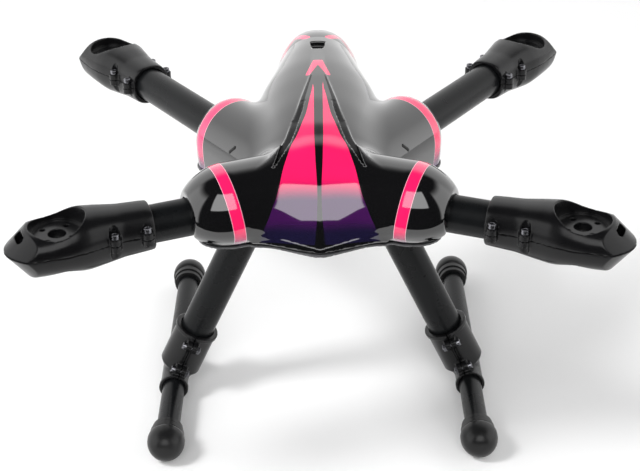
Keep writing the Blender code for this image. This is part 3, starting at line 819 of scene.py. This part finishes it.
def makeTubes(material):
    for end, word, side in armNames:
        direction = armDirection(end, side)
        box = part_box(f"arm_tube_{end}_{word}")
        reach = (box[1] - box[0]).x / mm
        along = (reach - tube["radius"] * 2 * abs(direction[1])) / abs(direction[0])
        place = aimed(direction * tube["start"], direction)
        mesh = turned("armTube", tubeProfile(along, tube["radius"], tube["wall"], tube["edge"]), [place])
        mesh.transform(hubMatrix())
        newPiece(f"arm_tube_{end}_{word}_visual", mesh, material, "frame", [f"arm_tube_{end}_{word}"])
    legLength = (leg["plate"] - leg["place"][2]) / math.cos(math.radians(leg["splay"])) - leg["topGap"]
    for word, side in sides:
        place = legMatrix(side) @ Matrix.Translation((0, 0, leg["from"]))
        profile = tubeProfile(legLength - leg["from"], tube["radius"], tube["wall"], tube["edge"])
        mesh = turned("legTube", profile, [place])
        mesh.transform(hubMatrix())
        newPiece(f"leg_tube_{word}_visual", mesh, material, "frame", [f"leg_tube_{word}"])
        place = aimed((side * leg["place"][0], tube["skidFrom"], leg["place"][2]), (0, 1, 0))
        skidLength = tube["skidTo"] - tube["skidFrom"]
        profile = tubeProfile(skidLength, tube["skidRadius"], tube["wall"], tube["edge"])
        mesh = turned("skidTube", profile, [place])
        mesh.transform(hubMatrix())
        newPiece(f"skid_tube_{word}_visual", mesh, material, f"skid_{word}", [f"skid_tube_{word}"])
    print("tubes")


foot = {"radius": 13.4, "dome": 14.5, "past": 4.5, "tubeHole": 8.45, "holeEnd": 4.5}


def footProfile():
    # collar steps, a groove, then the dome; zero is where the dome begins
    profile = [(-14.3, foot["tubeHole"]), (-14.3, 10.8), (-13.9, 11.2), (-10.6, 11.2), (-10.3, 10.7),
               (-9.8, 10.7), (-9.5, 11.0), (-9.4, 11.9), (-9.0, 12.2), (-4.9, 12.2), (-4.5, 11.8),
               (-4.1, 11.8), (-3.7, 12.6), (-3.1, 13.0), (-1.6, 13.35)]
    for i in range(1, 17):
        angle = math.pi / 2 * i / 16
        radius = foot["radius"] * math.cos(angle) ** 0.82 if i < 16 else 0.0
        profile.append((foot["dome"] * math.sin(angle), radius))
    return profile[::-1] + [(foot["holeEnd"], foot["tubeHole"]), (foot["holeEnd"], 0.0)]


def makeFeet(material):
    ends = {"front": (tube["skidFrom"] - foot["past"], -1), "rear": (tube["skidTo"] + foot["past"], 1)}
    for word, side in sides:
        for end, (place, way) in ends.items():
            mesh = turned("foot", footProfile(),
                          [aimed((side * leg["place"][0], place, leg["place"][2]), (0, way, 0))])
            mesh.transform(hubMatrix())
            newPiece(f"foot_{end}_{word}_visual", mesh, material, f"skid_{word}",
                     [f"foot_{end}_{word}"])
    print("feet")


# tee clamps, in the leg's frame: z runs up the leg, y along the skid and x = 0 is the seam

tee = {
    "post": 15.4, "top": 44.0, "bottom": 3.2, "collar": 16.5, "collarHeight": 3.0, "sleeve": 10.1,
    "flange": 10.9, "from": -23.5, "to": 24.5, "legBore": 12.8, "skidBore": 8.6, "gap": 0.3, "step": 0.7,
    "earY": 18.0, "earZ": (12.5, 35.5), "earHalf": 4.2, "earRadius": 4.2,
    "low": (-1, -25, -13), "high": (18, 26, 46),
}


def teeField(points):
    x, y, z = points[..., 0], points[..., 1], points[..., 2]
    radial = np.sqrt(x * x + y * y)
    # the post narrows towards the skid
    post = radial - tee["post"] + np.maximum(9.0 - z, 0.0) * 0.7
    post = np.maximum(post, np.maximum(z - tee["top"], tee["bottom"] - z))
    half = tee["collarHeight"] / 2
    collar = np.maximum(radial - tee["collar"], np.abs(z - tee["top"] + half) - half)
    around = np.sqrt(x * x + z * z)
    sleeve = np.maximum(around - tee["sleeve"], np.maximum(y - tee["to"], tee["from"] - y))
    flange = np.maximum(around - tee["flange"], np.abs(y - tee["from"] - 1.6) - 1.6)
    body = smoothMin(smoothMin(smoothMin(post, sleeve, 3.0), collar, 1.0), flange, 0.8)
    for height in tee["earZ"]:
        ear = np.sqrt((np.abs(y) - tee["earY"] + 1.2) ** 2 + (z - height) ** 2) - tee["earRadius"]
        body = smoothMin(body, smoothMax(ear, np.abs(x) - tee["earHalf"], 0.6), 1.6)
    # a sunk strip along the seam between the ears
    strip = np.maximum(np.abs(x) - 1.5, np.maximum(14.6 - np.abs(y), np.abs(z - 24.0) - 6.6))
    body = smoothMax(body, -strip, 0.3)
    body = smoothMax(body, -np.maximum(radial - tee["legBore"], 13.3 - z), 0.3)
    body = smoothMax(body, -(around - tee["skidBore"]), 0.3)
    return smoothMax(body, tee["gap"] - x, 0.35)


def makeTees(material):
    points, triangles = fieldSurface(teeField, tee["low"], tee["high"], tee["step"])
    normals = fieldNormals(points, teeField)
    for word, side in sides:
        for half, way in (("outer", side), ("inner", -side)):
            place = legMatrix(side) @ (Matrix() if way > 0 else Matrix.Rotation(math.pi, 4, "Z"))
            # the half turned about the leg swaps front and back, so the flange is mirrored instead
            flip = way < 0
            spots = points * (1, -1 if flip else 1, 1)
            mesh = meshFrom("tee", spots, triangles[:, ::-1] if flip else triangles)
            mesh.normals_split_custom_set_from_vertices(normals * (1, -1 if flip else 1, 1))
            mesh.transform(hubMatrix(place))
            newPiece(f"tee_{half}_{word}_visual", mesh, material, f"tee_{word}",
                     [f"tee_{half}_{word}"])
    print("tees", len(triangles), "triangles a half")


# cap screws with nuts, placed by one tree

screw = {"head": 2.75, "height": 3.0, "socket": 1.35, "depth": 1.6, "shank": 1.5, "nut": 2.9,
         "nutHeight": 2.4, "sides": 24}


def hexRadius(across, angle):
    return across / math.cos((angle + math.pi / 6) % (math.pi / 3) - math.pi / 6)


def screwMesh(length, nutted=True):
    bm = bmesh.new()
    n = screw["sides"]

    def ring(height, radius, sixSided=False):
        return [bm.verts.new(((hexRadius(radius, a) if sixSided else radius) * math.cos(a),
                              (hexRadius(radius, a) if sixSided else radius) * math.sin(a), height))
                for a in (math.tau * i / n for i in range(n))]

    def stack(rings):
        bm.faces.new(rings[0][::-1])
        for first, second in zip(rings, rings[1:]):
            for i in range(n):
                j = (i + 1) % n
                bm.faces.new((first[i], first[j], second[j], second[i]))
        bm.faces.new(rings[-1])

    top = screw["height"]
    stack([ring(-length, screw["shank"] * 0.8), ring(-length + 0.4, screw["shank"]), ring(0, screw["shank"]),
           ring(0, screw["head"] - 0.15), ring(0.15, screw["head"]), ring(top - 0.45, screw["head"]),
           ring(top - 0.12, screw["head"] - 0.15), ring(top, screw["head"] - 0.45),
           ring(top, screw["socket"] + 0.12, True), ring(top - 0.15, screw["socket"], True),
           ring(top - screw["depth"], screw["socket"], True)])
    if nutted:
        low = -length + 0.6
        stack([ring(low, screw["nut"] - 0.5, True), ring(low + 0.3, screw["nut"] - 0.15, True),
               ring(low + screw["nutHeight"], screw["nut"] - 0.15, True)])
    mesh = bpy.data.meshes.new("screw")
    bm.to_mesh(mesh)
    bm.free()
    mesh.shade_smooth()
    mesh.set_sharp_from_angle(angle=math.radians(35))
    return mesh


def makeScrewTree():
    tree = bpy.data.node_groups.new("screwsOnPoints", "GeometryNodeTree")
    for name, kind in (("Points", "NodeSocketGeometry"), ("Screw", "NodeSocketObject"),
                       ("Finish", "NodeSocketMaterial")):
        tree.interface.new_socket(name, in_out="INPUT", socket_type=kind)
    tree.interface.new_socket("Screws", in_out="OUTPUT", socket_type="NodeSocketGeometry")
    kinds = {"start": "NodeGroupInput", "screw": "GeometryNodeObjectInfo",
             "turn": "GeometryNodeInputNamedAttribute", "place": "GeometryNodeInstanceOnPoints",
             "real": "GeometryNodeRealizeInstances", "finish": "GeometryNodeSetMaterial",
             "end": "NodeGroupOutput"}
    nodes = {name: tree.nodes.new(kind) for name, kind in kinds.items()}
    nodes["turn"].data_type = "FLOAT_VECTOR"
    nodes["turn"].inputs["Name"].default_value = "turn"
    for first, output, second, entry in (
            ("start", "Points", "place", "Points"), ("start", "Screw", "screw", "Object"),
            ("screw", "Geometry", "place", "Instance"), ("turn", "Attribute", "place", "Rotation"),
            ("place", "Instances", "real", "Geometry"), ("real", "Geometry", "finish", "Geometry"),
            ("start", "Finish", "finish", "Material"), ("finish", "Geometry", "end", "Screws")):
        tree.links.new(nodes[first].outputs[output], nodes[second].inputs[entry])
    return tree


def makeScrews(tree, name, places, length, material, body, replaced, nutted=True):
    # places are matrices in hub millimetres whose z axis points out of the head
    source = bpy.data.objects.new("screwSource", screwMesh(length, nutted))
    bpy.context.scene.collection.objects.link(source)
    cloud = bpy.data.meshes.new(name)
    cloud.from_pydata([tuple(place.to_translation()) for place in places], [], [])
    turns = cloud.attributes.new("turn", "FLOAT_VECTOR", "POINT")
    turns.data.foreach_set("vector", [value for place in places for value in place.to_euler()])
    holder = bpy.data.objects.new(name, cloud)
    bpy.context.scene.collection.objects.link(holder)
    modifier = holder.modifiers.new("screws", "NODES")
    modifier.node_group = tree
    inputs = {item.name: item.identifier for item in tree.interface.items_tree if item.in_out == "INPUT"}
    modifier[inputs["Screw"]] = source
    modifier[inputs["Finish"]] = material
    evaluated = holder.evaluated_get(bpy.context.evaluated_depsgraph_get())
    mesh = bpy.data.meshes.new_from_object(evaluated)
    mesh.transform(hubMatrix())
    bpy.data.objects.remove(holder)
    bpy.data.objects.remove(source)
    newPiece(f"{name}_visual", mesh, material, body, replaced)


def podPlace(end, side):
    direction = armDirection(end, side)
    turn = Matrix.Rotation(math.atan2(direction[1], direction[0]), 4, "Z")
    return Matrix.Translation(Vector(direction * (motorReach[end] - pod["start"]))) @ turn


def makeAllScrews(material):
    tree = makeScrewTree()
    for end, word, side in armNames:
        places = [podPlace(end, side) @ Matrix.Translation((x, way * y, pod["headSeat"]))
                  for x, y in pod["bolts"] for way in (1, -1)]
        makeScrews(tree, f"pod_screws_{end}_{word}", places, 9.6, material, f"pod_{end}_{word}",
                   [f"pod_bolt_{end}_{word}_{number}" for number in (1, 2)])
    for word, side in sides:
        places = [legMatrix(side) @ aimed((side * tee["earHalf"], y, z), (side, 0, 0))
                  for y in (-tee["earY"], tee["earY"]) for z in tee["earZ"]]
        makeScrews(tree, f"tee_screws_{word}", places, 11.0, material, f"tee_{word}", [f"tee_bolt_{word}"])
    frameSpots = []
    for name in ("front_left", "front_right", "rear_left", "rear_right"):
        low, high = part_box(f"standoff_{name}")
        middle = (low + high) / 2 / mm - Vector(hub)
        frameSpots.append(Matrix.Translation((middle.x, middle.y, 16.9)))
    makeScrews(tree, "frame_screws", frameSpots, 4.0, material, "frame", [], False)
    print("screws")


# what the canopy hides keeps its own shape and gets a better surface

def dress(material, *nodes):
    for name in nodes:
        materials = bpy.data.objects[name].data.materials
        for place in range(len(materials)):
            materials[place] = material


def makeWeave():
    b = Builder("carbonWeave")
    x, y, z = b.split(b.place())
    across = b.node("ShaderNodeMath", {"operation": "SINE"}, [(x + y) * 2200.0])
    along = b.node("ShaderNodeMath", {"operation": "SINE"}, [(x - y) * 2200.0])
    twill = b.step(across * along, -0.25, 0.25)
    shade = b.mix(twill, rgb(0.006, 0.006, 0.007), rgb(0.035, 0.036, 0.04))
    return b.finish(Base_Color=shade, Roughness=0.24 + twill * 0.16, Coat_Weight=0.4, Coat_Roughness=0.12,
                    Normal=b.bump(twill, 0.3, 0.00006))


def makeMetal(name, colour, roughness):
    b = Builder(name)
    brushed = b.noise(b.stretched(b.place(), (400.0, 400.0, 4000.0)), 1.0, 3.0)
    shade = b.mix(brushed, rgb(*[c * 0.75 for c in colour]), rgb(*colour))
    return b.finish(Base_Color=shade, Metallic=1.0, Roughness=roughness - 0.05 + brushed * 0.14,
                    Normal=b.bump(brushed, 0.15, 0.00002))


def makeBoard():
    b = Builder("circuitBoard")
    x, y, z = b.split(b.place())
    cells = b.node("ShaderNodeTexVoronoi", {"distance": "CHEBYCHEV"}, {"Vector": b.place(), "Scale": 420.0,
                                                                        "Randomness": 0.55})
    parts = b.step(0.34 - cells, 0.0, 0.03)
    traces = b.step(b.node("ShaderNodeMath", {"operation": "SINE"}, [x * 5200.0]), 0.55, 0.75)
    green = b.mix(traces * 0.6, rgb(0.006, 0.035, 0.016), rgb(0.03, 0.10, 0.04))
    shade = b.mix(parts, green, rgb(0.02, 0.02, 0.022))
    return b.finish(Base_Color=shade, Roughness=0.3 + parts * 0.25, Normal=b.bump(parts, 0.5, 0.0003))


def makeStrap():
    b = Builder("wovenStrap")
    x, y, z = b.split(b.place())
    ribs = b.node("ShaderNodeMath", {"operation": "SINE"}, [y * 5600.0])
    shade = b.mix(b.step(ribs, -0.6, 0.6), rgb(0.008, 0.008, 0.009), rgb(0.03, 0.03, 0.033))
    return b.finish(Base_Color=shade, Roughness=0.8, Normal=b.bump(ribs, 0.6, 0.0002))


# camera, lights and floor

camera = {"lens": 79.5, "away": (0.0, -832.2, 439.2), "down": 29.63, "roll": -0.72}


def makeCamera():
    data = bpy.data.cameras.new("camera")
    data.lens, data.sensor_width = camera["lens"], 36.0
    data.clip_start, data.clip_end = 0.01, 50.0
    eye = bpy.data.objects.new("camera", data)
    bpy.context.scene.collection.objects.link(eye)
    eye.matrix_world = (Matrix.Translation(Vector((hub + np.array(camera["away"])) * mm))
                        @ Matrix.Rotation(math.radians(90 - camera["down"]), 4, "X")
                        @ Matrix.Rotation(math.radians(camera["roll"]), 4, "Z"))
    bpy.context.scene.camera = eye


def makeLight(name, place, size, power, target=(0, 0, 150), shape="RECTANGLE"):
    data = bpy.data.lights.new(name, "AREA")
    data.shape = shape
    data.size, data.size_y = size
    data.energy = power
    lamp = bpy.data.objects.new(name, data)
    bpy.context.scene.collection.objects.link(lamp)
    place, target = Vector(place) * mm, Vector(target) * mm
    turn = (place - target).to_track_quat("Z", "Y").to_matrix().to_4x4()
    lamp.matrix_world = Matrix.Translation(place) @ turn
    lamp.visible_camera = False
    return lamp


room = {"front": 3.1, "side": 1.7, "back": 1.15, "rest": 0.03}


def makeRoom(tree):
    # bright walls all round below a dark ceiling, with a softbox in front
    b = Builder(tree=tree)
    x, y, z = b.split(b.node("ShaderNodeTexCoord"))
    ahead = (0 - y) / (1 - z * z + 0.0001) ** 0.5
    behind = 1 - b.step(ahead, -0.85, -0.4)
    walls = b.step(z, -0.2, -0.16) * (1 - b.step(z - behind * 0.12, 0.62, 0.82))
    front = b.step(ahead, 0.885, 0.91) * b.step(z, 0.34, 0.37) * (1 - b.step(z, 0.84, 0.87)) * room["front"]
    bright = room["back"] + b.step(ahead, -0.5, -0.2) * (room["side"] - room["back"])
    side = (1 - b.step(ahead, 0.58, 0.68)) * bright
    light = front + side * walls + room["rest"]
    tree.nodes["Background"].inputs["Color"].default_value = rgb(1.0, 1.0, 1.0)
    tree.links.new(light.socket, tree.nodes["Background"].inputs["Strength"])


floor = {"size": 3.0, "frontEdge": -0.5}


def makeFloor(name, front, back, material):
    mesh = bpy.data.meshes.new(name)
    size = floor["size"]
    corners = [(-size, front, 0), (size, front, 0), (size, back, 0), (-size, back, 0)]
    mesh.from_pydata(corners, [], [(0, 1, 2, 3)])
    mesh.materials.append(material)
    made = bpy.data.objects.new(name, mesh)
    bpy.context.scene.collection.objects.link(made)
    return made


def makeStudio():
    world = bpy.data.worlds.new("studio")
    bpy.context.scene.world = world
    world.use_nodes = True
    makeRoom(world.node_tree)
    makeLight("leftKey", (-1300, -500, 1700), (0.5, 0.5), 25, (0, 0, 0)).visible_glossy = False
    b = Builder("paleFloor")
    tone = b.noise(b.place(), 2.0, 2.0)
    pale = b.finish(Base_Color=b.mix(tone, rgb(0.9, 0.9, 0.9), rgb(0.93, 0.93, 0.93)), Roughness=0.9)
    # the far front of the floor stays out of reflections, so the gloss is dark below the softbox
    makeFloor("floor", floor["frontEdge"], floor["size"], pale)
    makeFloor("floorAhead", -floor["size"], floor["frontEdge"], pale).visible_glossy = False


nylon = makePlastic("satinNylon", (0.0045, 0.0045, 0.005), 0.24, 2600.0, 0.00003, 0.3)
tubeFinish = makePlastic("satinTube", (0.0055, 0.006, 0.0066), 0.28, 3200.0, 0.000015, 0.17)
rubber = makePlastic("softRubber", (0.008, 0.008, 0.0083), 0.33, 1500.0, 0.00003, 0.3)
steel = makeMetal("screwSteel", (0.24, 0.24, 0.26), 0.25)
makeCanopy(makeCanopyMaterial())
makeCatchSlotShades(rubber)
makePods(nylon)
makeTubes(tubeFinish)
makeTees(nylon)
makeFeet(rubber)
makeAllScrews(steel)
everyArm = [f"{end}_{word}" for end, word, side in armNames]
dress(makeWeave(), "lower_frame_plate", "upper_frame_plate")
dress(nylon, "leg_socket_left", "leg_socket_right")
dress(makeMetal("clampAlloy", (0.30, 0.31, 0.33), 0.32), *[f"arm_clamp_{name}" for name in everyArm],
      *[f"standoff_{name}" for name in everyArm], "canopy_post_front", "canopy_post_rear")
dress(makeBoard(), "power_board", *[f"speed_controller_{name}" for name in everyArm])
dress(makePlastic("mouldedCase", (0.02, 0.02, 0.022), 0.4, 1400.0, 0.00003, 0.4),
      "flight_controller", "receiver")
dress(makePlastic("cellWrap", (0.02, 0.045, 0.11), 0.3, 500.0, 0.00005, 0.5), "battery")
dress(makeStrap(), "battery_strap_front", "battery_strap_rear")
makeTray(makePlastic("trayPlastic", (0.08, 0.08, 0.084), 0.25, 2000.0, 0.00002, 0.6))
print("inner parts")
makeCamera()
makeStudio()
